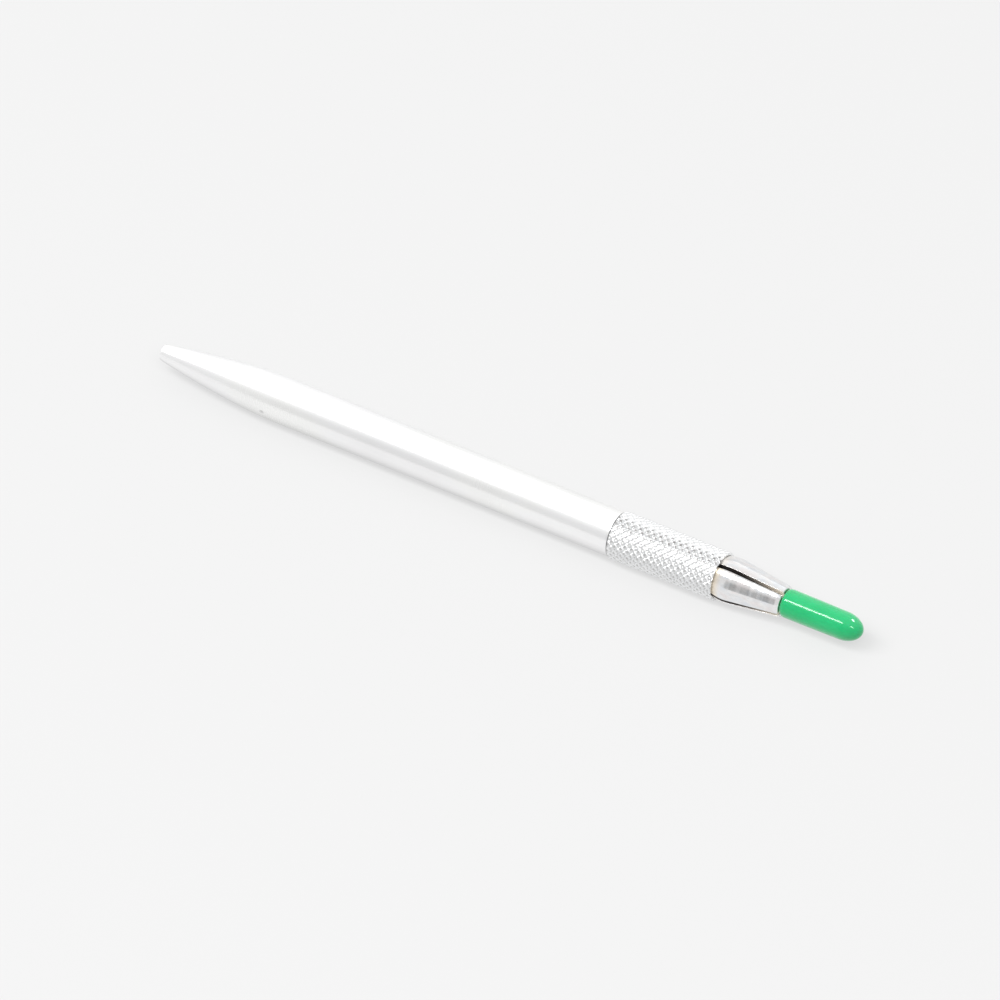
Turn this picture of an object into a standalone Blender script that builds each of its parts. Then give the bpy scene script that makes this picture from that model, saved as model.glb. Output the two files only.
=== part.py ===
"""Pen-type scriber: tapered aluminium handle, knurled clamping sleeve, four-jaw
collet drawn in by a screw thread, steel needle with a carbide point, and a
push-on plastic point cap.

The tool lies along X with the tail at -X and the point at +X. Z is up, and the
origin is under the middle of the tool on the surface it lies on. Every piece
is turned about its own local Z, which the body empties lay along world X.
"""

import math

import bmesh
import bpy
from mathutils import Matrix, Vector

MM = 0.001

# ---- driving dimensions, in millimetres; stations S are measured from the tail
HANDLE_R = 4.0            # smooth cylindrical part of the handle
TAIL_R = 1.45             # radius of the tapered tail's end
TAIL_TAPER = 23.0         # length of the tail taper
TAIL_POWER = 1.6          # how full the taper is: 1 is a straight cone
TAIL_EDGE = 0.15
S_SEAM = 87.30            # handle shoulder
SEAM_GAP = 0.10
EDGE = 0.10
SPIGOT_R, SPIGOT_LEN = 3.20, 2.0

S_MOUTH = 107.50          # front face of the knurled sleeve
KNURL_ROOT_R = 4.00
KNURL_CREST_R = 4.25
KNURL_STARTS = 20         # helical grooves of each hand
KNURL_PITCH = 1.27        # length of one diamond along the axis
SLEEVE_BORE_R = 2.78
SEAT_BACK_R, SEAT_MOUTH_R, SEAT_LEN = 2.95, 3.86, 6.05

S_NOSE = 119.40           # front face of the collet
JAW_MAX_R = 4.02
NOSE_R = 2.74
SEAT_CLEAR = 0.10
NECK_R = 2.62
S_SLIT_END = 96.2
SLIT_WIDE, SLIT_NARROW = 0.64, 0.50
SLIT_TURN = 19.0          # degrees from straight up, towards -Y
GRIP_BORE_R, REAR_BORE_R, GRIP_LEN = 1.03, 1.25, 7.0

THREAD_PITCH = 0.8
THREAD_MAJOR, THREAD_MINOR = 2.45, 2.00
THREAD_CLEAR = 0.12
THREAD_STEPS = 20
S_THREAD_REAR, S_THREAD_FRONT = 81.2, 91.7
S_TAP_END, S_DRILL_END = 79.9, 77.2

NEEDLE_R = 1.00
S_NEEDLE_REAR, S_NEEDLE_TAPER, S_NEEDLE_FRONT = 86.1, 127.0, 128.2
NEEDLE_FRONT_R = 0.66
POINT_R, POINT_SOCKET = 0.48, 2.9
S_POINT = 131.35

S_CAP_REAR, S_CAP_END = 119.50, 134.05
CAP_R, CAP_TIP_R = 2.50, 2.43
CAP_BORE_R, S_CAP_BORE_END = 1.06, 132.20

# The middle of the length is at x = 0, and the sleeve's crests touch z = 0.
S_MID = S_CAP_END / 2
AXIS_Z = KNURL_CREST_R * math.cos(math.pi / (2 * KNURL_STARTS))

ROUND = 44                # facets of the larger turned pieces


def clear_scene():
    for obj in list(bpy.data.objects):
        bpy.data.objects.remove(obj, do_unlink=True)


def collection(name):
    made = bpy.data.collections.new(name)
    bpy.context.scene.collection.children.link(made)
    return made


def material(name, colour, roughness, metallic):
    mat = bpy.data.materials.new(name)
    mat.use_nodes = True
    shader = mat.node_tree.nodes["Principled BSDF"]
    shader.inputs["Base Color"].default_value = (*colour, 1.0)
    shader.inputs["Roughness"].default_value = roughness
    shader.inputs["Metallic"].default_value = metallic
    mat.diffuse_color = (*colour, 1.0)
    return mat


def axis_empty(name, parent=None):
    """An empty on the tool's axis whose local Z points along world X."""
    empty = bpy.data.objects.new(name, None)
    PARTS.objects.link(empty)
    if parent is None:
        empty.location = (0, 0, AXIS_Z * MM)
        empty.rotation_euler = (0, math.pi / 2, 0)
    else:
        empty.parent = parent
    return empty


def local_z(s):
    return (s - S_MID) * MM


def new_object(name, mesh, parent, helper=False):
    obj = bpy.data.objects.new(name, mesh)
    (CUTTERS if helper else PARTS).objects.link(obj)
    obj.parent = parent
    if helper:
        obj.hide_render = True
        obj.display_type = "WIRE"
    return obj


def turned(name, profile, parent, steps=ROUND, ring=False, helper=False, turn=0.0):
    """A Screw-modifier solid from (station, radius) points, front first down the outer side.

    A ring profile is a closed loop; any other starts and ends on the axis."""
    mesh = bpy.data.meshes.new(name)
    bm = bmesh.new()
    verts = [bm.verts.new((r * MM, 0, local_z(s))) for s, r in profile]
    for a, b in zip(verts, verts[1:]):
        bm.edges.new((a, b))
    if ring:
        bm.edges.new((verts[-1], verts[0]))
    bm.to_mesh(mesh)
    bm.free()
    obj = new_object(name, mesh, parent, helper)
    obj.rotation_euler = (0, 0, turn)
    screw = obj.modifiers.new("turn", "SCREW")
    screw.axis = "Z"
    screw.steps = screw.render_steps = steps
    screw.use_merge_vertices = True
    screw.merge_threshold = 0.000001
    screw.use_smooth_shade = False
    return obj


def boolean(obj, other, operation):
    mod = obj.modifiers.new(operation.lower(), "BOOLEAN")
    mod.operation = operation
    mod.object = other
    mod.solver = "EXACT"
    return mod


def settle(obj):
    """Replaces the object's mesh with its evaluated one, smooth but for its edges."""
    bpy.context.view_layer.update()
    graph = bpy.context.evaluated_depsgraph_get()
    mesh = bpy.data.meshes.new_from_object(obj.evaluated_get(graph))
    obj.modifiers.clear()
    obj.data = mesh
    mesh.shade_smooth()
    mesh.set_sharp_from_angle(angle=math.radians(28))
    return obj


def thread_rod(name, major, minor, s_rear, s_front, parent, widen=0.0):
    """A threaded rod: one pitch of profile swept by the Screw modifier, each helical end closed on the axis.

    widen thickens the ridge on both flanks, for a tap that leaves clearance.
    The helix keeps the same phase whatever its length, so tap and rod match."""
    p = THREAD_PITCH
    first = math.floor((s_rear - 60.0) / p) - 1
    turns = math.ceil((s_front - s_rear) / p) + 3
    crest = 0.12 + widen
    flank = (major - minor) * math.tan(math.radians(30))
    low = max((p - crest) / 2 - flank, 0.02)
    points = [
        (0.0, minor),
        (low, minor),
        ((p - crest) / 2, major),
        ((p + crest) / 2, major),
        (p - low, minor),
        (p, minor),
    ]
    base = 60.0 + first * p
    mesh = bpy.data.meshes.new(name)
    bm = bmesh.new()
    verts = [bm.verts.new((r * MM, 0, local_z(base + s))) for s, r in reversed(points)]
    for a, b in zip(verts, verts[1:]):
        bm.edges.new((a, b))
    bm.to_mesh(mesh)
    bm.free()
    obj = new_object(name, mesh, parent, helper=True)
    screw = obj.modifiers.new("thread", "SCREW")
    screw.axis = "Z"
    screw.steps = screw.render_steps = THREAD_STEPS
    screw.screw_offset = p * MM
    screw.iterations = turns
    screw.use_merge_vertices = True
    screw.merge_threshold = 0.000005
    screw.use_smooth_shade = False
    settle(obj)
    bm = bmesh.new()
    bm.from_mesh(obj.data)
    bmesh.ops.remove_doubles(bm, verts=bm.verts, dist=0.000004)
    open_edges = [e for e in bm.edges if e.is_boundary]
    middle = sum((v.co.z for v in bm.verts), 0.0) / len(bm.verts)
    for side in (-1, 1):
        loop = [
            e
            for e in open_edges
            if (sum(v.co.z for v in e.verts) / 2 - middle) * side > 0
        ]
        height = sum(v.co.z for e in loop for v in e.verts) / (2 * len(loop))
        hub = bm.verts.new((0, 0, height))
        for e in loop:
            bm.faces.new((e.verts[0], e.verts[1], hub))
    bmesh.ops.recalc_face_normals(bm, faces=bm.faces)
    bm.to_mesh(obj.data)
    bm.free()
    return obj


def knurled_rod(name, parent):
    """A rod whose surface is a diamond knurl: a grid wrapped round the axis, its odd points sunk to the groove crossings."""
    half = KNURL_PITCH / 2
    columns = 2 * KNURL_STARTS
    s0 = S_SEAM - 1.2
    rows = math.ceil((S_MOUTH + 1.2 - s0) / half)
    mesh = bpy.data.meshes.new(name)
    bm = bmesh.new()
    bmesh.ops.create_grid(bm, x_segments=columns, y_segments=rows, size=0.5)
    bm.verts.ensure_lookup_table()
    place = {}
    for v in bm.verts:
        i = round((v.co.y + 0.5) * rows)
        j = round((v.co.x + 0.5) * columns)
        place[v] = (i, j)
    for face in list(bm.faces):
        sunk = [v for v in face.verts if sum(place[v]) % 2]
        bmesh.ops.connect_verts(bm, verts=sunk)
    for v, (i, j) in place.items():
        turn = 2 * math.pi * (j + 0.5) / columns
        r = KNURL_CREST_R if (i + j) % 2 == 0 else KNURL_ROOT_R - 0.04
        v.co = Vector(
            (r * MM * math.cos(turn), r * MM * math.sin(turn), local_z(s0 + i * half))
        )
    bmesh.ops.remove_doubles(bm, verts=bm.verts, dist=0.000002)
    bmesh.ops.holes_fill(bm, edges=[e for e in bm.edges if e.is_boundary], sides=0)
    bmesh.ops.recalc_face_normals(bm, faces=bm.faces)
    bm.to_mesh(mesh)
    bm.free()
    return new_object(name, mesh, parent, helper=True)


def box(name, size, centre, parent, turn=0.0):
    """A cutter or lug with its length along the axis, turned about it."""
    mesh = bpy.data.meshes.new(name)
    bm = bmesh.new()
    bmesh.ops.create_cube(bm, size=1.0)
    bmesh.ops.scale(bm, vec=Vector(size) * MM, verts=bm.verts)
    bmesh.ops.translate(
        bm,
        vec=Vector((centre[0] * MM, centre[1] * MM, local_z(centre[2]))),
        verts=bm.verts,
    )
    bmesh.ops.rotate(
        bm,
        cent=(0, 0, 0),
        matrix=Matrix.Rotation(turn, 3, "Z"),
        verts=bm.verts,
    )
    bm.to_mesh(mesh)
    bm.free()
    return new_object(name, mesh, parent, helper=True)


def give(obj, mat):
    obj.data.materials.clear()
    obj.data.materials.append(mat)


def handle_radius(s):
    if s >= TAIL_TAPER:
        return HANDLE_R
    return HANDLE_R - (HANDLE_R - TAIL_R) * ((TAIL_TAPER - s) / TAIL_TAPER) ** TAIL_POWER


def make_handle(parent):
    profile = [
        (S_SEAM + SPIGOT_LEN, 0),
        (S_SEAM + SPIGOT_LEN, SPIGOT_R - 0.2),
        (S_SEAM + SPIGOT_LEN - 0.2, SPIGOT_R),
        (S_SEAM, SPIGOT_R),
        (S_SEAM, HANDLE_R - EDGE),
        (S_SEAM - EDGE, HANDLE_R),
    ]
    s = TAIL_TAPER
    while s > 1.5:
        profile.append((s, handle_radius(s)))
        s -= 2.0
    profile += [
        (TAIL_EDGE, handle_radius(TAIL_EDGE)),
        (0, TAIL_R - TAIL_EDGE),
        (0, 0),
    ]
    half = math.pi / ROUND
    obj = turned("handle", profile, parent, turn=half)
    drill = turned(
        "cut_handle_bore",
        [
            (S_SEAM + SPIGOT_LEN + 1, 0),
            (S_SEAM + SPIGOT_LEN + 1, THREAD_MAJOR + THREAD_CLEAR + 1.1),
            (S_SEAM + SPIGOT_LEN - 0.45, THREAD_MINOR + THREAD_CLEAR - 0.02),
            (S_DRILL_END, THREAD_MINOR + THREAD_CLEAR - 0.02),
            (S_DRILL_END - 1.2, 0),
        ],
        parent,
        steps=THREAD_STEPS,
        helper=True,
        turn=math.pi / THREAD_STEPS,
    )
    tap = thread_rod(
        "cut_handle_thread",
        THREAD_MAJOR + THREAD_CLEAR,
        THREAD_MINOR + THREAD_CLEAR - 0.05,
        S_TAP_END,
        S_SEAM + SPIGOT_LEN,
        parent,
        widen=0.10,
    )
    tap_length = turned(
        "cut_handle_thread_length",
        [
            (S_SEAM + SPIGOT_LEN + 0.6, 0),
            (S_SEAM + SPIGOT_LEN + 0.6, 3.4),
            (S_TAP_END + 0.5, 3.4),
            (S_TAP_END - 0.3, 1.9),
            (S_TAP_END - 0.3, 0),
        ],
        parent,
        steps=24,
        helper=True,
    )
    boolean(tap, tap_length, "INTERSECT")
    settle(tap)
    boolean(obj, drill, "DIFFERENCE")
    boolean(obj, tap, "DIFFERENCE")
    return settle(obj)


def make_sleeve(parent):
    back = S_SEAM + SEAM_GAP
    seat = S_MOUTH - SEAT_LEN
    obj = turned(
        "knurled_sleeve",
        [
            (S_MOUTH, KNURL_ROOT_R - 0.02),
            (S_MOUTH - 0.42, KNURL_CREST_R + 0.05),
            (back + 0.34, KNURL_CREST_R + 0.05),
            (back, HANDLE_R - 0.04),
            (back, SPIGOT_R + 0.25),
            (back + 0.2, SPIGOT_R + 0.06),
            (back + SPIGOT_LEN + 0.3, SPIGOT_R + 0.06),
            (back + SPIGOT_LEN + 0.3, SLEEVE_BORE_R),
            (seat, SLEEVE_BORE_R),
            (seat, SEAT_BACK_R),
            (S_MOUTH, SEAT_MOUTH_R),
        ],
        parent,
        ring=True,
        turn=math.pi / ROUND,
    )
    boolean(obj, knurled_rod("cut_knurl", parent), "INTERSECT")
    for k in (0, 2):
        lug = box(
            f"add_drive_nib_{k}",
            (1.15, 0.40, 1.3),
            (2.65, 0, 99.6),
            parent,
            math.radians(SLIT_TURN + 90 * k),
        )
        boolean(obj, lug, "UNION")
    return settle(obj)


def make_collet(parent):
    m = S_MOUTH
    seat_rise = (SEAT_MOUTH_R - SEAT_BACK_R) / SEAT_LEN
    back = m - SEAT_LEN + 0.25
    at_mouth = SEAT_MOUTH_R - SEAT_CLEAR - 0.04
    profile = [
        (S_NOSE, GRIP_BORE_R),
        (S_NOSE, NOSE_R - 0.22),
        (S_NOSE - 0.22, NOSE_R),
        (m + 2.9, JAW_MAX_R - 0.10),
        (m + 2.4, JAW_MAX_R - 0.03),
        (m + 1.9, JAW_MAX_R),
        (m + 1.4, JAW_MAX_R - 0.02),
        (m + 0.9, JAW_MAX_R - 0.09),
        (m + 0.45, JAW_MAX_R - 0.18),
        (m, at_mouth),
        (back, at_mouth - seat_rise * (m - back)),
        (back - 0.3, NECK_R),
        (S_THREAD_FRONT + 1.0, NECK_R),
        (S_THREAD_FRONT + 0.6, THREAD_MINOR - 0.05),
        (S_THREAD_REAR, THREAD_MINOR - 0.05),
        (S_THREAD_REAR, REAR_BORE_R),
        (S_NOSE - GRIP_LEN - 0.3, REAR_BORE_R),
        (S_NOSE - GRIP_LEN, GRIP_BORE_R),
    ]
    obj = turned("collet", profile, parent, ring=True, turn=math.pi / ROUND)
    rod = thread_rod(
        "add_collet_thread", THREAD_MAJOR, THREAD_MINOR, S_THREAD_REAR, S_THREAD_FRONT + 1.0, parent
    )
    shape = turned(
        "cut_collet_thread_length",
        [
            (S_THREAD_FRONT + 0.85, THREAD_MAJOR + 0.4),
            (S_THREAD_REAR + 0.65, THREAD_MAJOR + 0.4),
            (S_THREAD_REAR + 0.15, THREAD_MINOR - 0.08),
            (S_THREAD_REAR + 0.15, REAR_BORE_R + 0.25),
            (S_THREAD_FRONT + 0.85, REAR_BORE_R + 0.25),
        ],
        parent,
        steps=24,
        ring=True,
        helper=True,
    )
    boolean(rod, shape, "INTERSECT")
    settle(rod)
    boolean(obj, rod, "UNION")
    # Two crossing saw cuts make the four jaws. The jaws close on the needle, so
    # each cut is narrower at the nose than at the mouth of the sleeve.
    for k in (0, 1):
        cut = box(
            f"cut_slit_{k}",
            (12, SLIT_WIDE, S_NOSE + 1 - S_SLIT_END),
            (0, 0, (S_NOSE + 1 + S_SLIT_END) / 2),
            parent,
        )
        for v in cut.data.vertices:
            if v.co.z > local_z(S_NOSE):
                v.co.y *= SLIT_NARROW / SLIT_WIDE
        cut.data.transform(Matrix.Rotation(math.radians(SLIT_TURN + 90 * k), 4, "Z"))
        boolean(obj, cut, "DIFFERENCE")
    return settle(obj)


def make_needle(parent):
    shank = turned(
        "needle_shank",
        [
            (S_NEEDLE_FRONT - POINT_SOCKET - 0.25, 0),
            (S_NEEDLE_FRONT - POINT_SOCKET, POINT_R + 0.03),
            (S_NEEDLE_FRONT, POINT_R + 0.03),
            (S_NEEDLE_FRONT, NEEDLE_FRONT_R),
            (S_NEEDLE_TAPER, NEEDLE_R),
            (S_NEEDLE_REAR + 0.25, NEEDLE_R),
            (S_NEEDLE_REAR, NEEDLE_R - 0.25),
            (S_NEEDLE_REAR, 0),
        ],
        parent,
        steps=32,
        turn=math.pi / 32,
    )
    point = turned(
        "carbide_point",
        [
            (S_POINT, 0),
            (S_POINT - 0.03, 0.05),
            (S_NEEDLE_FRONT + 0.25, POINT_R),
            (S_NEEDLE_FRONT - POINT_SOCKET + 0.12, POINT_R),
            (S_NEEDLE_FRONT - POINT_SOCKET + 0.12, 0),
        ],
        parent,
        steps=24,
    )
    return settle(shank), settle(point)


def make_cap(parent):
    dome = CAP_TIP_R * 1.52
    dome_start = S_CAP_END - dome
    profile = [(S_CAP_END, 0)]
    for k in range(1, 9):
        a = math.radians(90 - 90 * k / 8)
        profile.append((dome_start + dome * math.sin(a), CAP_TIP_R * math.cos(a)))
    profile += [
        (S_CAP_REAR + 0.3, CAP_R),
        (S_CAP_REAR + 0.08, CAP_R - 0.09),
        (S_CAP_REAR, CAP_R - 0.3),
        (S_CAP_REAR, CAP_BORE_R + 0.1),
        (S_CAP_REAR + 0.1, CAP_BORE_R),
    ]
    for k in range(0, 5):
        a = math.radians(90 * k / 4)
        profile.append(
            (S_CAP_BORE_END - CAP_BORE_R + CAP_BORE_R * math.sin(a), CAP_BORE_R * math.cos(a))
        )
    profile[-1] = (S_CAP_BORE_END, 0)
    return settle(turned("protective_cap", profile, parent, steps=36, turn=math.pi / 36))


clear_scene()
PARTS = collection("scriber")
CUTTERS = collection("cutters")

aluminium = material("satin_aluminium", (0.86, 0.87, 0.88), 0.34, 1.0)
knurl = material("knurled_aluminium", (0.84, 0.85, 0.86), 0.30, 1.0)
bright = material("polished_collet", (0.82, 0.82, 0.82), 0.16, 1.0)
steel = material("needle_steel", (0.62, 0.63, 0.65), 0.25, 1.0)
carbide = material("tungsten_carbide", (0.25, 0.26, 0.28), 0.35, 1.0)
green = material("green_vinyl", (0.02, 0.52, 0.17), 0.22, 0.0)

handle_axis = axis_empty("handle_axis")
sleeve_axis = axis_empty("sleeve_axis", handle_axis)
collet_axis = axis_empty("collet_axis", sleeve_axis)
needle_axis = axis_empty("needle_axis", collet_axis)
cap_axis = axis_empty("cap_axis", needle_axis)

give(make_handle(handle_axis), aluminium)
give(make_sleeve(sleeve_axis), knurl)
give(make_collet(collet_axis), bright)
needle_shank, carbide_point = make_needle(needle_axis)
give(needle_shank, steel)
give(carbide_point, carbide)
give(make_cap(cap_axis), green)
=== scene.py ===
import bmesh
import bpy
import math
from mathutils import Matrix, Vector


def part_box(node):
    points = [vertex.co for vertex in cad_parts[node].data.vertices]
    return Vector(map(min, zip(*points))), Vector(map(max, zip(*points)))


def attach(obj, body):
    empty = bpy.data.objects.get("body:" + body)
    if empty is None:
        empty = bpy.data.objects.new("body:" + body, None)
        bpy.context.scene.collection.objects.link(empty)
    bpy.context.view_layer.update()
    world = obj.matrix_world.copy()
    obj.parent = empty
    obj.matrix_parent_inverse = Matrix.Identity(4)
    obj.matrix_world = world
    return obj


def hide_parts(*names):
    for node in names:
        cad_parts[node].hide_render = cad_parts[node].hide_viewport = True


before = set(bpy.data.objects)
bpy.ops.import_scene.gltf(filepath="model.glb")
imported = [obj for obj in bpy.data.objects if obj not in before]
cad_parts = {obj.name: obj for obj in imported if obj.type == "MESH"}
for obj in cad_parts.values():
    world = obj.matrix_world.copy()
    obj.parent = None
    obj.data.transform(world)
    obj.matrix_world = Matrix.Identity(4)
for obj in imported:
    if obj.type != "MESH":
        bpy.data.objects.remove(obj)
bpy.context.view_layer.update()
MM = 0.001

# ---- where the CAD says things are ------------------------------------------
H_LO, H_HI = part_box("handle")
S_LO, S_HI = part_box("knurled_sleeve")
C_LO, C_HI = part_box("collet")
N_LO, N_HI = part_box("needle_shank")
T_LO, T_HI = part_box("carbide_point")
P_LO, P_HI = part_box("protective_cap")
AX = (H_LO.z + H_HI.z) / 2  # height of the tool's axis
X0 = H_LO.x  # the tail's end; stations are in mm from here


def sta(x):
    return (x - X0) / MM


SEAM = sta(S_LO.x)
MOUTH = sta(S_HI.x)
NOSE = sta(C_HI.x)
SHANK = sta(C_LO.x)
CAP0, CAP1 = sta(P_LO.x), sta(P_HI.x)
NEEDLE0, NEEDLE1 = sta(N_LO.x), sta(N_HI.x)
POINT0, POINT1 = sta(T_LO.x), sta(T_HI.x)


# ---- mesh helpers: rings about the tool's axis -------------------------------
def at(s, r, angle):
    """A point at station s mm, radius r mm, angle from straight up towards -Y."""
    return Vector(
        (X0 + s * MM, -r * MM * math.sin(angle), AX + r * MM * math.cos(angle))
    )


def add_object(name, bm, mat, smooth=35.0):
    bmesh.ops.recalc_face_normals(bm, faces=bm.faces)
    mesh = bpy.data.meshes.new(name)
    bm.to_mesh(mesh)
    bm.free()
    mesh.shade_smooth()
    if smooth:
        mesh.set_sharp_from_angle(angle=math.radians(smooth))
    obj = bpy.data.objects.new(name, mesh)
    bpy.context.scene.collection.objects.link(obj)
    obj.data.materials.append(mat)
    return obj


def rings(bm, profile, segs, closed=False):
    """Lofts (station, radius) points round the axis. A zero radius is one point."""
    rows = []
    for s, r in profile:
        if r <= 1e-6:
            rows.append([bm.verts.new(at(s, 0, 0))])
        else:
            rows.append(
                [
                    bm.verts.new(at(s, r, 2 * math.pi * k / segs))
                    for k in range(segs)
                ]
            )
    pairs = list(zip(rows, rows[1:]))
    if closed:
        pairs.append((rows[-1], rows[0]))
    for a, b in pairs:
        if len(a) == 1 and len(b) == 1:
            continue
        for k in range(segs):
            n = (k + 1) % segs
            if len(a) == 1:
                bm.faces.new((a[0], b[n], b[k]))
            elif len(b) == 1:
                bm.faces.new((a[k], a[n], b[0]))
            else:
                bm.faces.new((a[k], a[n], b[n], b[k]))
    return rows


def rounded(points, radius, steps=3):
    """Rounds the corners of an open profile. radius is one number or one for each point."""
    out = [points[0]]
    for i in range(1, len(points) - 1):
        r = radius[i] if isinstance(radius, (list, tuple)) else radius
        p, a, b = Vector(points[i]), Vector(points[i - 1]), Vector(points[i + 1])
        la, lb = (a - p).length, (b - p).length
        if r <= 0 or la < 1e-6 or lb < 1e-6:
            out.append(points[i])
            continue
        c = min(r, 0.45 * la, 0.45 * lb)
        p0, p1 = p + (a - p) * (c / la), p + (b - p) * (c / lb)
        for k in range(steps + 1):
            t = k / steps
            q = p0 * (1 - t) ** 2 + p * 2 * t * (1 - t) + p1 * t * t
            out.append((q.x, q.y))
    out.append(points[-1])
    return out


# ---- node helpers ----------------------------------------------------------------
class Mat:
    def __init__(self, name):
        self.mat = bpy.data.materials.new(name)
        self.mat.use_nodes = True
        self.nt = self.mat.node_tree
        self.shader = self.nt.nodes["Principled BSDF"]
        self.coord = self.nt.nodes.new("ShaderNodeTexCoord").outputs["Object"]

    def node(self, kind, **inputs):
        n = self.nt.nodes.new(kind)
        for key, value in inputs.items():
            if key.startswith("_"):
                setattr(n, key[1:], value)
                continue
            socket = n.inputs[int(key[1:])] if key[0] == "i" and key[1:].isdigit() else n.inputs[key]
            if isinstance(value, bpy.types.NodeSocket):
                self.nt.links.new(value, socket)
            else:
                socket.default_value = value
        return n

    def space(self, scale, offset=(0, 0, 0)):
        """Object coordinates, in metres about the tool's axis, times a scale for each axis."""
        n = self.nt.nodes.new("ShaderNodeMapping")
        n.vector_type = "POINT"
        self.nt.links.new(self.coord, n.inputs["Vector"])
        n.inputs["Location"].default_value = (
            offset[0],
            offset[1],
            offset[2] - AX * scale[2],
        )
        n.inputs["Scale"].default_value = scale
        return n.outputs["Vector"]

    def noise(self, vector, scale=1.0, detail=3.0, rough=0.55):
        n = self.node(
            "ShaderNodeTexNoise",
            Vector=vector,
            Scale=scale,
            Detail=detail,
            Roughness=rough,
        )
        return n.outputs["Fac"]

    def ramp(self, fac, stops):
        n = self.nt.nodes.new("ShaderNodeValToRGB")
        self.nt.links.new(fac, n.inputs["Fac"])
        els = n.color_ramp.elements
        while len(els) < len(stops):
            els.new(0.5)
        for e, (pos, value) in zip(els, stops):
            e.position = pos
            e.color = (*value, 1) if isinstance(value, (tuple, list)) else (value, value, value, 1)
        return n.outputs["Color"]

    def math(self, op, a, b=None, clamp=False):
        n = self.nt.nodes.new("ShaderNodeMath")
        n.operation = op
        n.use_clamp = clamp
        for i, v in enumerate((a, b)):
            if v is None:
                continue
            if isinstance(v, bpy.types.NodeSocket):
                self.nt.links.new(v, n.inputs[i])
            else:
                n.inputs[i].default_value = v
        return n.outputs[0]

    def mix(self, fac, a, b, blend="MIX"):
        n = self.nt.nodes.new("ShaderNodeMix")
        n.data_type = "RGBA"
        n.blend_type = blend
        for socket, v in ((n.inputs[0], fac), (n.inputs[6], a), (n.inputs[7], b)):
            if isinstance(v, bpy.types.NodeSocket):
                self.nt.links.new(v, socket)
            else:
                socket.default_value = (*v, 1) if isinstance(v, (tuple, list)) else v
        return n.outputs[2]

    def bump(self, height, strength, distance, normal=None):
        n = self.nt.nodes.new("ShaderNodeBump")
        n.inputs["Strength"].default_value = strength
        n.inputs["Distance"].default_value = distance
        self.nt.links.new(height, n.inputs["Height"])
        if normal is not None:
            self.nt.links.new(normal, n.inputs["Normal"])
        return n.outputs["Normal"]

    def set(self, **values):
        for key, v in values.items():
            socket = self.shader.inputs[key.replace("_", " ")]
            if isinstance(v, bpy.types.NodeSocket):
                self.nt.links.new(v, socket)
            elif isinstance(v, (tuple, list)) and len(v) == 3 and socket.type == "RGBA":
                socket.default_value = (*v, 1)
            else:
                socket.default_value = v

    def around(self):
        """Turning marks run round the tool, so highlights spread along it."""
        n = self.nt.nodes.new("ShaderNodeTangent")
        n.direction_type = "RADIAL"
        n.axis = "X"
        self.nt.links.new(n.outputs[0], self.shader.inputs["Tangent"])
        self.shader.inputs["Anisotropic Rotation"].default_value = 0.25


# ---- materials -------------------------------------------------------------------
def satin_aluminium():
    m = Mat("satin_aluminium")
    lines = m.noise(m.space((5200, 60, 60)), detail=4, rough=0.7)  # turning marks
    fine = m.noise(m.space((14000, 220, 220)), detail=2)
    patch = m.noise(m.space((55, 130, 130)), detail=3)
    scratch = m.noise(m.space((260, 5200, 5200)), detail=2, rough=0.6)
    marks = m.ramp(scratch, [(0.0, 0.0), (0.66, 0.0), (0.74, 1.0)])
    # darker underside, fitted by angle to the reference's tones: painted shade, the reflected contact
    # shadow below the tool
    sep = m.node("ShaderNodeSeparateXYZ", Vector=m.space((1000, 1000, 1000)))
    turn = m.math("ARCTAN2", m.math("ABSOLUTE", sep.outputs[1]), sep.outputs[2])
    underside_shade = m.math("MULTIPLY", turn, 1 / math.pi)
    underside_shade = m.ramp(underside_shade, [(0.475, 1.0), (0.520, 0.96), (0.560, 0.91), (0.610, 0.80), (0.66, 0.70)])
    hue = m.noise(m.space((60, 150, 150), (4, 2, 7)), detail=3)
    tone = m.ramp(patch, [(0.30, (0.93, 0.932, 0.935)), (0.70, (0.985, 0.986, 0.988))])
    tint = m.ramp(hue, [(0.38, (1.0, 0.994, 0.996)), (0.5, (1.0, 1.0, 1.0)), (0.62, (0.997, 0.996, 0.984))])
    tone = m.mix(1.0, tone, tint, "MULTIPLY")
    tone = m.mix(1.0, tone, underside_shade, "MULTIPLY")
    tone = m.mix(m.math("MULTIPLY", marks, 0.10), tone, (0.62, 0.63, 0.65))
    # painted shade: the step inside the sleeve and the nick are darkened in the colour
    shade = m.node("ShaderNodeAttribute", _attribute_name="shade").outputs["Fac"]
    tone = m.mix(shade, tone, (0.05, 0.05, 0.052))
    rough = m.math("MULTIPLY_ADD", lines, 0.06)
    rough.node.inputs[2].default_value = 0.185
    rough = m.math("ADD", rough, m.math("MULTIPLY", hue, 0.08))
    normal = m.bump(fine, 0.10, 0.00001)
    normal = m.bump(lines, 0.10, 0.00001, normal)
    m.set(Base_Color=tone, Metallic=1.0, Roughness=rough, Normal=normal)
    m.shader.inputs["Anisotropic"].default_value = 0.66
    m.around()
    return m.mat


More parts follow.
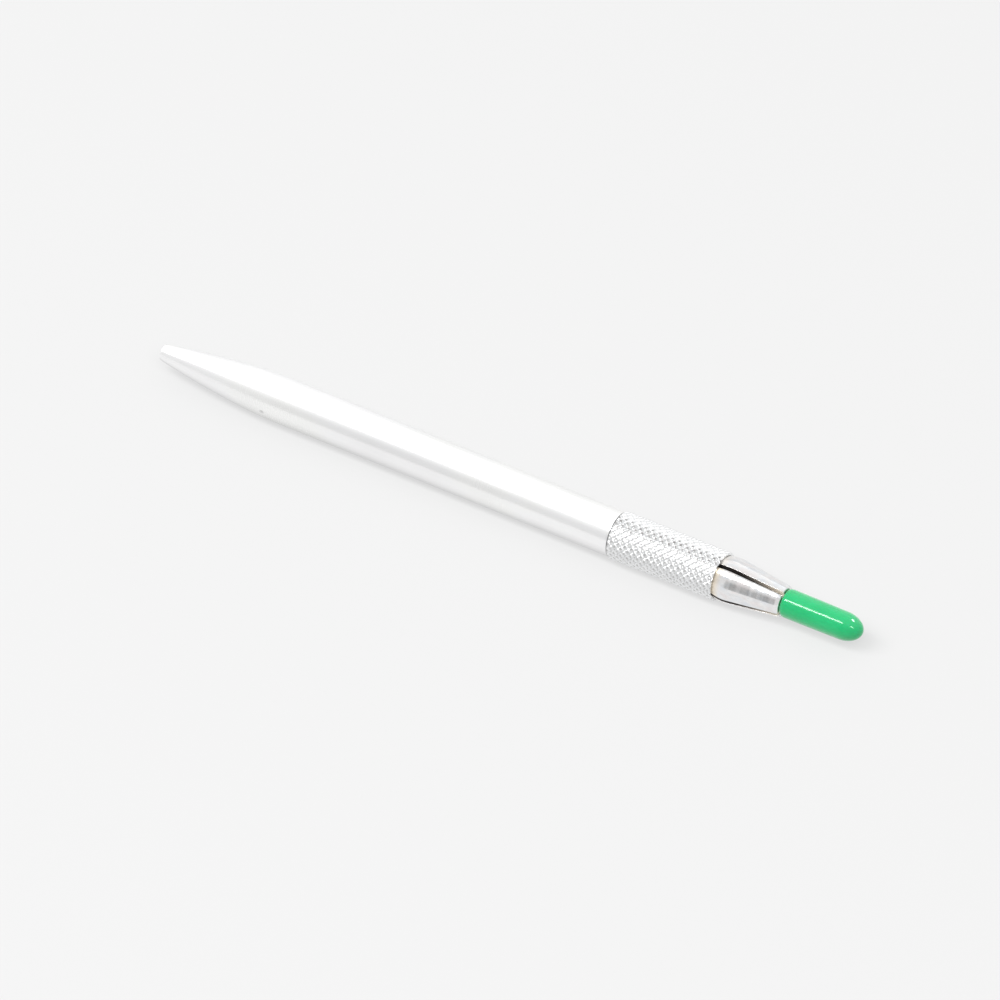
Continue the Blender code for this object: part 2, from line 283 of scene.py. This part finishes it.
def knurled_aluminium():
    m = Mat("knurled_aluminium")
    attr = m.nt.nodes.new("ShaderNodeAttribute")
    attr.attribute_name = "depth"
    depth = attr.outputs["Fac"]
    dish = m.node("ShaderNodeAttribute", _attribute_name="dish").outputs["Fac"]
    grain = m.noise(m.space((2600, 2600, 2600)), detail=3)
    speck = m.noise(m.space((1500, 1500, 1500), (3, 7, 1)), detail=2)
    # painted shade in the pits where the grooves cross, and inside the bore
    pit_shade = m.ramp(depth, [(0.0, 0.0), (0.25, 0.05), (0.60, 1.0)])
    pit_shade = m.math("MULTIPLY", pit_shade, m.ramp(speck, [(0.3, 0.45), (0.6, 1.0)]))
    # darker pits along one strip, fitted by angle to the reference: painted shade on that side of the
    # sleeve
    sep = m.node("ShaderNodeSeparateXYZ", Vector=m.space((1000, 1000, 1000)))
    angle = m.math("ARCTAN2", m.math("MULTIPLY", sep.outputs[1], -1.0), sep.outputs[2])
    turn = m.math("MULTIPLY_ADD", angle, 1 / (2 * math.pi))
    turn.node.inputs[2].default_value = 0.5
    strip = m.ramp(
        turn,
        [
            (0.40, 0.12),
            (0.484, 0.16),
            (0.502, 1.0),
            (0.572, 1.0),
            (0.592, 0.38),
            (0.615, 0.10),
            (0.650, 0.55),
            (0.80, 0.50),
            (0.90, 0.30),
        ],
    )
    pit_shade = m.math("MULTIPLY", pit_shade, 0.42)
    strip_shade = m.math("MULTIPLY", m.ramp(dish, [(0.0, 0.0), (0.08, 0.05), (0.30, 1.0)]), strip)
    strip_shade = m.math("MULTIPLY", strip_shade, m.ramp(speck, [(0.28, 0.45), (0.55, 1.0)]))
    pit_shade = m.math("MAXIMUM", pit_shade, m.math("MULTIPLY", strip_shade, 0.92))
    tone = m.ramp(grain, [(0.35, (0.78, 0.785, 0.79)), (0.62, (0.92, 0.925, 0.93))])
    # painted shade: one side of the sleeve darker by angle round it
    angle_shade = m.ramp(
        turn,
        [(0.485, 1.0), (0.512, 0.80), (0.56, 0.76), (0.59, 0.86), (0.61, 0.86), (0.64, 0.90), (0.69, 1.0)],
    )
    tone = m.mix(1.0, tone, angle_shade, "MULTIPLY")
    tone = m.mix(pit_shade, tone, (0.20, 0.195, 0.19))
    rough = m.math("MULTIPLY_ADD", grain, 0.16)
    rough.node.inputs[2].default_value = 0.16
    rough = m.math("ADD", rough, m.math("MULTIPLY", pit_shade, 0.25))
    normal = m.bump(grain, 0.35, 0.00004)
    m.set(Base_Color=tone, Metallic=1.0, Roughness=rough, Normal=normal)
    return m.mat


def polished_collet():
    m = Mat("polished_collet")
    rings_ = m.noise(m.space((5200, 40, 40)), detail=4, rough=0.75)
    wide = m.noise(m.space((1500, 160, 160), (2, 0, 0)), detail=3)
    patch = m.noise(m.space((700, 1500, 1500)), detail=4, rough=0.65)
    hue = m.noise(m.space((420, 900, 900), (9, 4, 2)), detail=2)
    tone = m.ramp(patch, [(0.3, (0.80, 0.795, 0.80)), (0.7, (0.91, 0.91, 0.905))])
    tint = m.ramp(hue, [(0.35, (0.93, 0.96, 1.0)), (0.5, (1.0, 1.0, 1.0)), (0.65, (1.0, 0.955, 0.95))])
    tone = m.mix(0.8, tone, tint, "MULTIPLY")
    sep = m.node("ShaderNodeSeparateXYZ", Vector=m.space((1000, 1000, 1000)))
    angle = m.math("ARCTAN2", m.math("MULTIPLY", sep.outputs[1], -1.0), sep.outputs[2])
    turn = m.math("MULTIPLY_ADD", angle, 1 / (2 * math.pi))
    turn.node.inputs[2].default_value = 0.5
    # painted shade: a dark band along one side of the collet, by angle round it
    angle_shade = m.ramp(
        turn,
        [
            (0.42, 1.0),
            (0.46, 0.88),
            (0.49, 0.76),
            (0.53, 0.66),
            (0.575, 0.60),
            (0.600, 0.86),
            (0.64, 0.93),
            (0.67, 1.0),
        ],
    )
    tone = m.mix(1.0, tone, angle_shade, "MULTIPLY")
    # a beige tint at the sleeve's mouth, a painted reflection of the dark mouth; dull brown saw-cut faces
    # in the slits, darkening further in with painted shade; a warm tint at the sleeve's mouth (cause
    # unknown), and dull brown sawn faces in the slits
    warm = m.node("ShaderNodeAttribute", _attribute_name="warm").outputs["Fac"]
    cut = m.node("ShaderNodeAttribute", _attribute_name="cut").outputs["Fac"]
    deep = m.node("ShaderNodeAttribute", _attribute_name="deep").outputs["Fac"]
    tone = m.mix(warm, tone, (0.84, 0.735, 0.58))
    # painted shade: the saw-cut faces darken deeper into each slit
    sawn_face_and_shade = m.mix(deep, (0.95, 0.88, 0.79), (0.07, 0.06, 0.055))
    tone = m.mix(cut, tone, sawn_face_and_shade)
    rough = m.math("MULTIPLY_ADD", m.ramp(wide, [(0.35, 0.0), (0.65, 1.0)]), 0.13)
    rough.node.inputs[2].default_value = 0.09
    rough = m.math("ADD", rough, m.math("MULTIPLY", rings_, 0.05))
    rough = m.math("ADD", rough, m.math("MULTIPLY", cut, 0.30))
    normal = m.bump(wide, 0.25, 0.000025)
    normal = m.bump(patch, 0.12, 0.00002, normal)
    normal = m.bump(rings_, 0.25, 0.000010, normal)
    metal = m.math("MULTIPLY_ADD", cut, -0.85)
    metal.node.inputs[2].default_value = 1.0
    m.set(Base_Color=tone, Metallic=metal, Roughness=rough, Normal=normal)
    m.shader.inputs["Anisotropic"].default_value = 0.45
    m.around()
    return m.mat


def needle_steel():
    m = Mat("needle_steel")
    lines = m.noise(m.space((9000, 60, 60)), detail=3)
    patch = m.noise(m.space((300, 500, 500)), detail=3)
    tone = m.ramp(patch, [(0.3, (0.60, 0.61, 0.63)), (0.7, (0.68, 0.69, 0.70))])
    rough = m.math("MULTIPLY_ADD", lines, 0.12)
    rough.node.inputs[2].default_value = 0.16
    m.set(
        Base_Color=tone,
        Metallic=1.0,
        Roughness=rough,
        Normal=m.bump(lines, 0.2, 0.00001),
    )
    return m.mat


def tungsten_carbide():
    m = Mat("tungsten_carbide")
    grain = m.noise(m.space((16000, 16000, 16000)), detail=3)
    lines = m.noise(m.space((400, 9000, 9000)), detail=2)
    tone = m.ramp(grain, [(0.3, (0.20, 0.21, 0.23)), (0.7, (0.30, 0.31, 0.33))])
    rough = m.math("MULTIPLY_ADD", grain, 0.15)
    rough.node.inputs[2].default_value = 0.25
    m.set(
        Base_Color=tone,
        Metallic=1.0,
        Roughness=rough,
        Normal=m.bump(lines, 0.2, 0.00001),
    )
    return m.mat


def green_vinyl():
    m = Mat("green_vinyl")
    cloud = m.noise(m.space((180, 300, 300)), detail=3)
    peel = m.noise(m.space((1500, 1500, 1500)), detail=2)
    dust = m.noise(m.space((3800, 3800, 3800), (5, 1, 2)), detail=2)
    tone = m.ramp(cloud, [(0.3, (0.003, 0.370, 0.122)), (0.7, (0.006, 0.408, 0.140))])
    rough = m.math("MULTIPLY_ADD", dust, 0.06)
    rough.node.inputs[2].default_value = 0.115
    m.set(
        Base_Color=tone,
        Metallic=0.0,
        Roughness=rough,
        Normal=m.bump(peel, 0.03, 0.00001),
    )
    m.shader.inputs["IOR"].default_value = 1.42
    m.shader.inputs["Sheen Weight"].default_value = 0.42
    m.shader.inputs["Sheen Roughness"].default_value = 0.45
    m.shader.inputs["Subsurface Weight"].default_value = 0.25
    m.shader.inputs["Subsurface Radius"].default_value = (0.3, 1.0, 0.5)
    m.shader.inputs["Subsurface Scale"].default_value = 0.0006
    return m.mat


# ---- handle --------------------------------------------------------------------
HANDLE_R, TAIL_R, TAIL_TAPER, TAIL_POWER = 4.0, 1.45, 23.0, 1.6
SHOULDER = SEAM + 0.10
REAR = SEAM + 0.26


def handle_radius(s):
    if s >= TAIL_TAPER:
        return HANDLE_R
    t = (TAIL_TAPER - s) / TAIL_TAPER
    return HANDLE_R - (HANDLE_R - TAIL_R) * t**TAIL_POWER


def make_handle(mat):
    body = [(0.0, 0.0), (0.0, TAIL_R - 0.22)]
    for k in range(1, 5):  # the tail's broken edge
        a = math.radians(90 * k / 4)
        body.append((0.22 * (1 - math.cos(a)), TAIL_R - 0.22 + 0.21 * math.sin(a)))
    s = 0.6
    while s < TAIL_TAPER - 0.01:
        body.append((s, handle_radius(s)))
        s += 0.1 if 20.2 < s < 22.3 else 0.5
    body += [(TAIL_TAPER + k * (SHOULDER - 0.4 - TAIL_TAPER) / 60, HANDLE_R) for k in range(61)]
    front = rounded(
        [
            body[-1],
            (SHOULDER, HANDLE_R),
            (SHOULDER, 3.20),
            (SHOULDER + 2.0, 3.20),
            (SHOULDER + 2.0, 2.62),
            (SHOULDER - 9.0, 2.62),
            (SHOULDER - 10.2, 0.0),
        ],
        [0, 0.07, 0.04, 0.15, 0.15, 0.1, 0],
        steps=3,
    )
    bm = bmesh.new()
    shade = bm.verts.layers.float.new("shade")
    rings(bm, body + front[1:], 160)
    for v in bm.verts:  # the step inside the sleeve is painted dark: painted shade where the sleeve covers it
        r = math.hypot(v.co.y, v.co.z - AX) / MM
        v[shade] = 1.0 if sta(v.co.x) > SHOULDER - 0.03 and r < HANDLE_R - 0.05 else 0.0
    # A small nick low on the side, where the taper ends, dented and darkened with painted shade.
    nick = at(21.3, HANDLE_R, math.radians(96))
    for v in bm.verts:
        gap = (v.co - nick) / MM
        d = Vector((gap.x * 0.8, gap.y, gap.z)).length
        if d < 0.42 and v.co.x < X0 + 0.05:
            inward = Vector((0, -v.co.y, AX - v.co.z)).normalized()
            v.co += inward * (0.16 * MM * (1 - (d / 0.42) ** 2))
            v[shade] = 0.30 * (1 - (d / 0.42) ** 2)
    return add_object("handle_turned", bm, mat, 40)


# ---- knurled sleeve ---------------------------------------------------------------
STARTS, PITCH, CREST, DEPTH = 20, 1.27, 4.236, 0.29
SUB = 16  # samples across one diamond
LIP, DISH = 0.25, 0.42


def knurl(a, b):
    """Height, pit and dish at a turns x starts round and b pitches along.

    Each diamond is rolled metal that hasn't quite filled: a raised lip along both
    grooves, and a shallow dish inside it."""
    d1, d2 = (abs(q - round(q)) for q in (a + b, a - b))
    t1, t2 = min(d1 / LIP, 1.0), min(d2 / LIP, 1.0)
    best, other = min(t1, t2), max(t1, t2)
    height = best + (1 - best) * 0.25 * other
    s1, s2 = (max(0.0, (d - LIP) / (0.5 - LIP)) for d in (d1, d2))
    dish = math.sqrt(s1 * s2)
    return height - DISH * dish, (1 - t1) * (1 - t2), dish


def make_sleeve(mat):
    cols = STARTS * SUB
    length = MOUTH - REAR
    step = PITCH / SUB
    rows = int(round(length / step))
    bm = bmesh.new()
    layer = bm.verts.layers.float.new("depth")
    hollow = bm.verts.layers.float.new("dish")
    grid = []
    info = []
    for i in range(rows + 1):
        s = REAR + length * i / rows
        b = (s - SEAM) / PITCH + 0.13
        end = min(s - REAR, MOUTH - s)
        cap = CREST - max(0.0, 0.12 - end) * 1.2
        ring, line = [], []
        for j in range(cols):
            a = j / SUB
            h, pit, dish = knurl(a, b)
            r = min(CREST - DEPTH * (1 - h), cap)
            v = bm.verts.new(at(s, r, 2 * math.pi * j / cols))
            v[layer] = pit
            v[hollow] = dish
            ring.append(v)
            line.append((a, b))
        grid.append(ring)
        info.append(line)
    for i in range(rows):
        for j in range(cols):
            n = (j + 1) % cols
            p, q, r, s = grid[i][j], grid[i][n], grid[i + 1][n], grid[i + 1][j]
            a, b = info[i][j]
            a += 0.5 / SUB
            b += 0.5 * step / PITCH
            d1 = abs(a + b - round(a + b))
            d2 = abs(a - b - round(a - b))
            if (d1 < d2) == (min(d1, d2) < LIP):
                bm.faces.new((p, q, s))
                bm.faces.new((q, r, s))
            else:
                bm.faces.new((p, q, r))
                bm.faces.new((p, r, s))
    inside = [
        (MOUTH, 3.785),
        (MOUTH - 0.05, 3.755),
        (MOUTH - 6.05, 2.91),
        (MOUTH - 6.05, 2.78),
        (SEAM + 2.3, 2.78),
        (SEAM + 2.3, 3.26),
        (REAR + 0.2, 3.26),
        (REAR, 3.45),
    ]
    prev = grid[-1]
    for s, r in inside:
        ring = [bm.verts.new(at(s, r, 2 * math.pi * j / cols)) for j in range(cols)]
        for v in ring:
            # the bore takes painted shade too, through the pit mask
            v[layer] = 0.4
        for j in range(cols):
            n = (j + 1) % cols
            bm.faces.new((prev[j], prev[n], ring[n], ring[j]))
        prev = ring
    for j in range(cols):
        n = (j + 1) % cols
        bm.faces.new((prev[j], prev[n], grid[0][n], grid[0][j]))
    return add_object("sleeve_knurled", bm, mat, 50)


def make_nibs(mat, turn):
    bm = bmesh.new()
    for k in (0, 2):
        made = bmesh.ops.create_cube(bm, size=1.0)
        verts = made["verts"]
        bmesh.ops.scale(bm, vec=Vector((1.3, 0.40, 1.1)) * MM, verts=verts)
        bmesh.ops.translate(bm, vec=Vector((0, 0, 2.67 * MM)), verts=verts)
        bmesh.ops.rotate(
            bm, cent=(0, 0, 0), matrix=Matrix.Rotation(turn + k * math.pi / 2, 3, "X"), verts=verts
        )
        bmesh.ops.translate(bm, vec=Vector((X0 + 99.6 * MM, 0, AX)), verts=verts)
    return add_object("sleeve_drive_nibs", bm, mat, 35)


# ---- collet ----------------------------------------------------------------------
JAW_R, NOSE_R, BORE_R, REAR_BORE_R = 4.02, 2.74, 1.03, 1.25
SLIT_TURN = math.radians(19.0)
SLIT_START, SLIT_WIDE, SLIT_NARROW = 96.2, 0.72, 0.64


def slit_width(s):
    t = (s - SLIT_START) / (NOSE - SLIT_START)
    return SLIT_WIDE + (SLIT_NARROW - SLIT_WIDE) * min(max(t, 0.0), 1.0) ** 1.6


def jaw_outline():
    m = MOUTH
    back = m - 5.8
    at_mouth = 3.72
    slope = (3.86 - 2.95) / 6.05
    pts = [
        (SLIT_START, 2.62),
        (back - 0.35, 2.62),
        (back, at_mouth - slope * 5.8),
        (m - 0.2, at_mouth - slope * 0.2),
    ]
    shoulder = [
        (0.0, 3.735),
        (0.25, 3.79),
        (0.5, 3.845),
        (0.75, 3.89),
        (1.0, 3.93),
        (1.25, 3.965),
        (1.5, 3.99),
        (1.75, 4.010),
        (2.0, 4.015),
        (2.25, 4.005),
        (2.5, 3.985),
        (2.8, 3.95),
    ]
    pts += [(m + a, r) for a, r in shoulder]
    s0, r0 = m + 3.1, 3.915
    n = 14
    for k in range(n + 1):
        s = s0 + (NOSE - 0.26 - s0) * k / n
        pts.append((s, r0 + (NOSE_R - r0) * (s - s0) / (NOSE - s0)))
    for k in range(1, 6):
        a = math.radians(90 * k / 5)
        pts.append((NOSE - 0.24 + 0.24 * math.sin(a), NOSE_R - 0.25 + 0.24 * math.cos(a)))
    return pts


def make_collet(mat):
    bm = bmesh.new()
    cut = bm.verts.layers.float.new("cut")
    warm = bm.verts.layers.float.new("warm")
    deep = bm.verts.layers.float.new("deep")
    outline = jaw_outline()
    arc, inner_n, edge = 40, 14, 0.055
    for jaw in range(4):
        start = SLIT_TURN + jaw * math.pi / 2
        sections = []
        for s, r in outline:
            w = slit_width(s) / 2
            bore = BORE_R if s > NOSE - 7.0 else REAR_BORE_R
            a0 = math.asin((w + edge) / r)
            ring = []
            # outer arc, with a small break along each sawn edge
            low = math.asin((w + 0.002) / (r - edge))
            ring.append((r - edge, low))
            ring.append((r - edge * 0.3, math.asin((w + edge * 0.3) / (r - edge * 0.3))))
            for k in range(arc + 1):
                ring.append((r, a0 + (math.pi / 2 - 2 * a0) * k / arc))
            ring.append(
                (r - edge * 0.3, math.pi / 2 - math.asin((w + edge * 0.3) / (r - edge * 0.3)))
            )
            ring.append((r - edge, math.pi / 2 - low))
            b0 = math.asin(w / bore)
            for k in range(inner_n + 1):
                ring.append((bore, math.pi / 2 - b0 - (math.pi / 2 - 2 * b0) * k / inner_n))
            section = []
            for rr, aa in ring:
                v = bm.verts.new(at(s, rr, start + aa))
                v[cut] = min(1.0, max(0.0, (r - rr) / (edge * 0.9)))
                v[warm] = max(0.0, 1.0 - abs(s - MOUTH - 0.15) / 1.3) * (0.3 if jaw else 1.0)
                v[deep] = min(1.0, max(0.0, (NOSE - s) / 7.5))
                section.append(v)
            sections.append(section)
        n = len(sections[0])
        for a, b in zip(sections, sections[1:]):
            for k in range(n):
                m = (k + 1) % n
                bm.faces.new((a[k], a[m], b[m], b[k]))
        # end faces: bridge the outer arc to the bore's arc in strips
        for sec in (sections[0], sections[-1]):
            outer, inner = sec[: arc + 5], list(reversed(sec[arc + 5 :]))
            i = j = 0
            while i < len(outer) - 1 or j < len(inner) - 1:
                if j >= len(inner) - 1 or (
                    i < len(outer) - 1 and (i + 1) / (len(outer) - 1) <= (j + 1) / (len(inner) - 1)
                ):
                    bm.faces.new((outer[i], outer[i + 1], inner[j]))
                    i += 1
                else:
                    bm.faces.new((outer[i], inner[j + 1], inner[j]))
                    j += 1
    neck = rounded(
        [
            (SLIT_START, REAR_BORE_R),
            (SLIT_START, 2.62),
            (92.7, 2.62),
            (92.3, 1.98),
            (SHANK, 1.98),
            (SHANK, REAR_BORE_R),
        ],
        [0, 0, 0.05, 0.05, 0.1, 0],
        steps=2,
    )
    rings(bm, neck, 96, closed=True)
    return add_object("collet_split", bm, mat, 32)


def make_thread(mat):
    """The collet's male thread: a ridge on a right-hand helix."""
    bm = bmesh.new()
    steps, pitch = 48, 0.8
    s0, s1 = SHANK + 0.75, 91.7
    total = int((s1 - s0) / pitch * steps)
    shape = [(-0.32, 1.96), (-0.30, 2.0), (-0.06, 2.45), (0.06, 2.45), (0.30, 2.0), (0.32, 1.96)]
    prev = first = None
    for k in range(total + 1):
        fade = min(1.0, k / (steps * 0.6), (total - k) / (steps * 0.6))
        turn = -2 * math.pi * k / steps
        s = s0 + pitch * k / steps
        ring = [
            bm.verts.new(at(s + ds, 1.96 + (r - 1.96) * max(fade, 0.02), turn)) for ds, r in shape
        ]
        if prev:
            for i in range(len(shape) - 1):
                bm.faces.new((prev[i], prev[i + 1], ring[i + 1], ring[i]))
            bm.faces.new((prev[-1], prev[0], ring[0], ring[-1]))
        else:
            first = ring
        prev = ring
    bm.faces.new(first)
    bm.faces.new(list(reversed(prev)))
    return add_object("collet_thread", bm, mat, 40)


# ---- needle, point, cap -------------------------------------------------------------
def make_needle(mat):
    bm = bmesh.new()
    r = 0.995
    prof = rounded(
        [
            (NEEDLE0, 0.0),
            (NEEDLE0, r),
            (NEEDLE1 - 1.2, r),
            (NEEDLE1, 0.66),
            (NEEDLE1, 0.505),
            (NEEDLE1 - 2.9, 0.505),
            (NEEDLE1 - 3.1, 0.0),
        ],
        [0, 0.25, 0.2, 0.06, 0.02, 0, 0],
        steps=3,
    )
    rings(bm, prof, 64)
    return add_object("needle_ground", bm, mat, 35)


def make_point(mat):
    bm = bmesh.new()
    prof = [
        (POINT0, 0.0),
        (POINT0, 0.42),
        (POINT0 + 0.06, 0.48),
        (NEEDLE1 + 0.18, 0.48),
        (NEEDLE1 + 0.30, 0.468),
        (POINT1 - 0.06, 0.055),
        (POINT1 - 0.02, 0.03),
        (POINT1, 0.0),
    ]
    rings(bm, prof, 48)
    return add_object("point_carbide", bm, mat, 35)


CAP_R, CAP_TIP_R, CAP_BORE_R = 2.50, 2.43, 1.06


def make_cap(mat):
    dome = CAP_TIP_R * 1.52
    start = CAP1 - dome
    prof = [(CAP1, 0.0)]
    for k in range(1, 25):
        a = math.radians(90 - 90 * k / 24)
        prof.append((start + dome * math.sin(a), CAP_TIP_R * math.cos(a)))
    n = 16
    for k in range(1, n + 1):
        t = k / n
        s = start + (CAP0 + 0.80 - start) * t
        # the soft wall swells very slightly over the needle and flares at its open rim
        prof.append((s, CAP_TIP_R + (CAP_R - CAP_TIP_R) * t + 0.012 * math.sin(math.pi * t)))
    for k in range(1, 9):
        a = math.radians(90 * k / 8)
        prof.append((CAP0 + 0.80 - 0.78 * math.sin(a), CAP_R - 0.34 + 0.34 * math.cos(a)))
    prof += [(CAP0, CAP_BORE_R + 0.22), (CAP0 + 0.05, CAP_BORE_R + 0.10), (CAP0 + 0.2, CAP_BORE_R)]
    end = CAP0 + 12.7
    for k in range(0, 7):
        a = math.radians(90 * k / 6)
        r = CAP_BORE_R * math.cos(a)
        prof.append((end - CAP_BORE_R + CAP_BORE_R * math.sin(a), 0.0 if k == 6 else r))
    bm = bmesh.new()
    rings(bm, prof, 128)
    return add_object("cap_moulded", bm, mat, 50)


aluminium = satin_aluminium()
knurl_mat = knurled_aluminium()
collet_mat = polished_collet()
steel = needle_steel()
carbide = tungsten_carbide()
green = green_vinyl()

handle = make_handle(aluminium)
sleeve = make_sleeve(knurl_mat)
nibs = make_nibs(knurl_mat, SLIT_TURN)
collet = make_collet(collet_mat)
thread = make_thread(collet_mat)
needle = make_needle(steel)
point = make_point(carbide)
cap = make_cap(green)

for piece, body, slot in (
    (handle, "handle", "satin_aluminium"),
    (sleeve, "sleeve", "knurled_aluminium"),
    (nibs, "sleeve", "knurled_aluminium"),
    (collet, "collet", "polished_collet"),
    (thread, "collet", "polished_collet"),
    (needle, "needle", "needle_steel"),
    (point, "needle", "tungsten_carbide"),
    (cap, "cap", "green_vinyl"),
):
    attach(piece, body)
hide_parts("handle")
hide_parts("knurled_sleeve")
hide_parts("collet")
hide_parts("needle_shank")
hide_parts("carbide_point")
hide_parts("protective_cap")


# ---- floor, light and camera ---------------------------------------------------------
def make_floor():
    bm = bmesh.new()
    bmesh.ops.create_grid(bm, x_segments=2, y_segments=2, size=12.0)
    mesh = bpy.data.meshes.new("floor")
    bm.to_mesh(mesh)
    bm.free()
    floor = bpy.data.objects.new("floor", mesh)
    bpy.context.scene.collection.objects.link(floor)
    mat = bpy.data.materials.new("floor_pale")
    mat.use_nodes = True
    nt = mat.node_tree
    shader = nt.nodes["Principled BSDF"]
    shader.inputs["Base Color"].default_value = (FLOOR_DIFFUSE, FLOOR_DIFFUSE, FLOOR_DIFFUSE, 1)
    shader.inputs["Roughness"].default_value = 1.0
    shader.inputs["Specular IOR Level"].default_value = 0.0
    shader.inputs["Emission Color"].default_value = (1, 1, 1, 1)
    shader.inputs["Emission Strength"].default_value = FLOOR_GLOW
    floor.data.materials.append(mat)
    return floor


def area(name, centre, target, size, radiance, colour=(1, 1, 1)):
    """A softbox of a given radiance, hidden from the camera and seen in reflections."""
    data = bpy.data.lights.new(name, "AREA")
    data.shape = "RECTANGLE"
    data.size, data.size_y = size
    data.energy = radiance * math.pi * size[0] * size[1]
    data.color = colour
    obj = bpy.data.objects.new(name, data)
    bpy.context.scene.collection.objects.link(obj)
    centre, target = Vector(centre), Vector(target)
    back = (centre - target).normalized()
    x = Vector((1, 0, 0))
    y = back.cross(x).normalized()
    x = y.cross(back).normalized()
    obj.matrix_world = Matrix((x, y, back)).transposed().to_4x4()
    obj.location = centre
    obj.visible_camera = False
    return obj


CAP_X = P_HI.x - 0.003
FLOOR_DIFFUSE, FLOOR_GLOW = 0.08, 0.622
floor = make_floor()

world = bpy.data.worlds.new("studio")
bpy.context.scene.world = world
world.use_nodes = True
wn = world.node_tree
bg = wn.nodes["Background"]
coord = wn.nodes.new("ShaderNodeTexCoord")
sep = wn.nodes.new("ShaderNodeSeparateXYZ")
wn.links.new(coord.outputs["Generated"], sep.inputs[0])


def wmath(op, a, b=None, c=None, clamp=False):
    n = wn.nodes.new("ShaderNodeMath")
    n.operation = op
    n.use_clamp = clamp
    for i, v in enumerate((a, b, c)):
        if v is None:
            continue
        if isinstance(v, bpy.types.NodeSocket):
            wn.links.new(v, n.inputs[i])
        else:
            n.inputs[i].default_value = v
    return n.outputs[0]


def step(v, lo, hi):
    """0 below lo, 1 above hi, smooth between."""
    n = wn.nodes.new("ShaderNodeMapRange")
    n.interpolation_type = "SMOOTHSTEP"
    wn.links.new(v, n.inputs["Value"])
    n.inputs["From Min"].default_value = lo
    n.inputs["From Max"].default_value = hi
    return n.outputs["Result"]


DX, DY, DZ = sep.outputs
# a white room, brighter behind the tool than in front of it
level = wmath("MULTIPLY_ADD", step(DY, -0.5, 0.5), 0.12, 0.88)
# the dark upright shape of the camera's side, seen in the polished collet
ahead = wmath("MAXIMUM", wmath("MULTIPLY", DY, -1.0), 0.02)
side = wmath("ABSOLUTE", wmath("ADD", wmath("DIVIDE", DX, ahead), 0.12))
tall = wmath("DIVIDE", DZ, ahead)
dark = wmath("SUBTRACT", 1.0, step(side, 0.02, 0.21))
dark = wmath("MULTIPLY", dark, wmath("SUBTRACT", 1.0, step(tall, 0.52, 1.02)))
dark = wmath("MULTIPLY", dark, step(ahead, 0.1, 0.3))
level = wmath("MULTIPLY", level, wmath("MULTIPLY_ADD", dark, -0.52, 1.0))
# and the slightly darker room on both sides of it
room = wmath("MULTIPLY", step(ahead, 0.1, 0.4), wmath("SUBTRACT", 1.0, step(tall, 0.30, 0.85)))
level = wmath("MULTIPLY", level, wmath("MULTIPLY_ADD", room, -0.06, 1.0))
mixed = wn.nodes.new("ShaderNodeCombineColor")
for i in range(3):
    wn.links.new(level, mixed.inputs[i])
wn.links.new(mixed.outputs[0], bg.inputs["Color"])
bg.inputs["Strength"].default_value = 1.0

# the big overhead softbox, its front edge 55 degrees up on the camera's side
area("softbox_top", (0, 0.75, 1.5), (0, 0.75, 0), (4.0, 3.4), 0.45)
# a strip along the tool, drawn as a thin line on the cap and as a broad band on metal;
# the glossy cap has its own, shorter one
ang, dist = math.radians(64.5), 1.25
strip_at = Vector((0, -dist * math.cos(ang), dist * math.sin(ang)))
strip_key = area("strip_key", strip_at + Vector((-0.46, 0, 0)), (-0.20, 0, 0), (0.90, 0.26), 15.0)
ang = math.radians(62.0)
strip_at = Vector((-0.44, -dist * math.cos(ang), dist * math.sin(ang)))
strip_cap = area("strip_cap", strip_at, (-0.20, 0, 0), (0.70, 0.21), 25.0)
no_cap = bpy.data.collections.new("lit_by_strip")
for piece in (handle, sleeve, nibs, collet, thread, needle, point, floor):
    no_cap.objects.link(piece)
strip_key.light_linking.receiver_collection = no_cap
only_cap = bpy.data.collections.new("lit_by_strip_cap")
only_cap.objects.link(cap)
strip_cap.light_linking.receiver_collection = only_cap
# a wide key that lights the floor alone, for the short shadow in front of the tool
ang, dist = math.radians(60.0), 3.5
floor_key = area(
    "floor_key",
    (0, -dist * math.cos(ang), dist * math.sin(ang)),
    (0, 0, 0),
    (5.6, 1.87),
    11.5,
)
lit = bpy.data.collections.new("lit_by_floor_key")
lit.objects.link(floor)
floor_key.light_linking.receiver_collection = lit

# two small lamps that only the cap's domed end reflects
tip = Vector((CAP_X, 0, AX))
for name, way, size, radiance in (
    ("spot_back", (0.2348, 0.6090, 0.7576), 0.36, 32.0),
    ("spot_front", (0.555, -0.375, 0.742), 0.30, 22.0),
):
    lamp = area(name, tip + Vector(way) * 1.6, tip, (size, size), radiance)
    lamp.light_linking.receiver_collection = only_cap
    lamp.visible_diffuse = False

cam_data = bpy.data.cameras.new("camera")
cam = bpy.data.objects.new("camera", cam_data)
bpy.context.scene.collection.objects.link(cam)
bpy.context.scene.camera = cam
AZ, EL, DIST = math.radians(30.4143), math.radians(43.2731), 4.0
back = Vector(
    (math.sin(AZ) * math.cos(EL), -math.cos(AZ) * math.cos(EL), math.sin(EL))
)
right = Vector((math.cos(AZ), math.sin(AZ), 0))
up = back.cross(right)
cam.location = right * -0.00178545 + up * 0.00169766 + back * DIST
cam.rotation_mode = "QUATERNION"
cam.rotation_quaternion = (-back).to_track_quat("-Z", "Y")
cam_data.sensor_width = 36.0
cam_data.lens = 870.016
cam_data.clip_start, cam_data.clip_end = 0.1, 100.0

scene = bpy.context.scene
scene.view_settings.view_transform = "Standard"
scene.view_settings.look = "None"
scene.view_settings.exposure = 0.0
scene.view_settings.gamma = 1.0

bpy.context.view_layer.update()
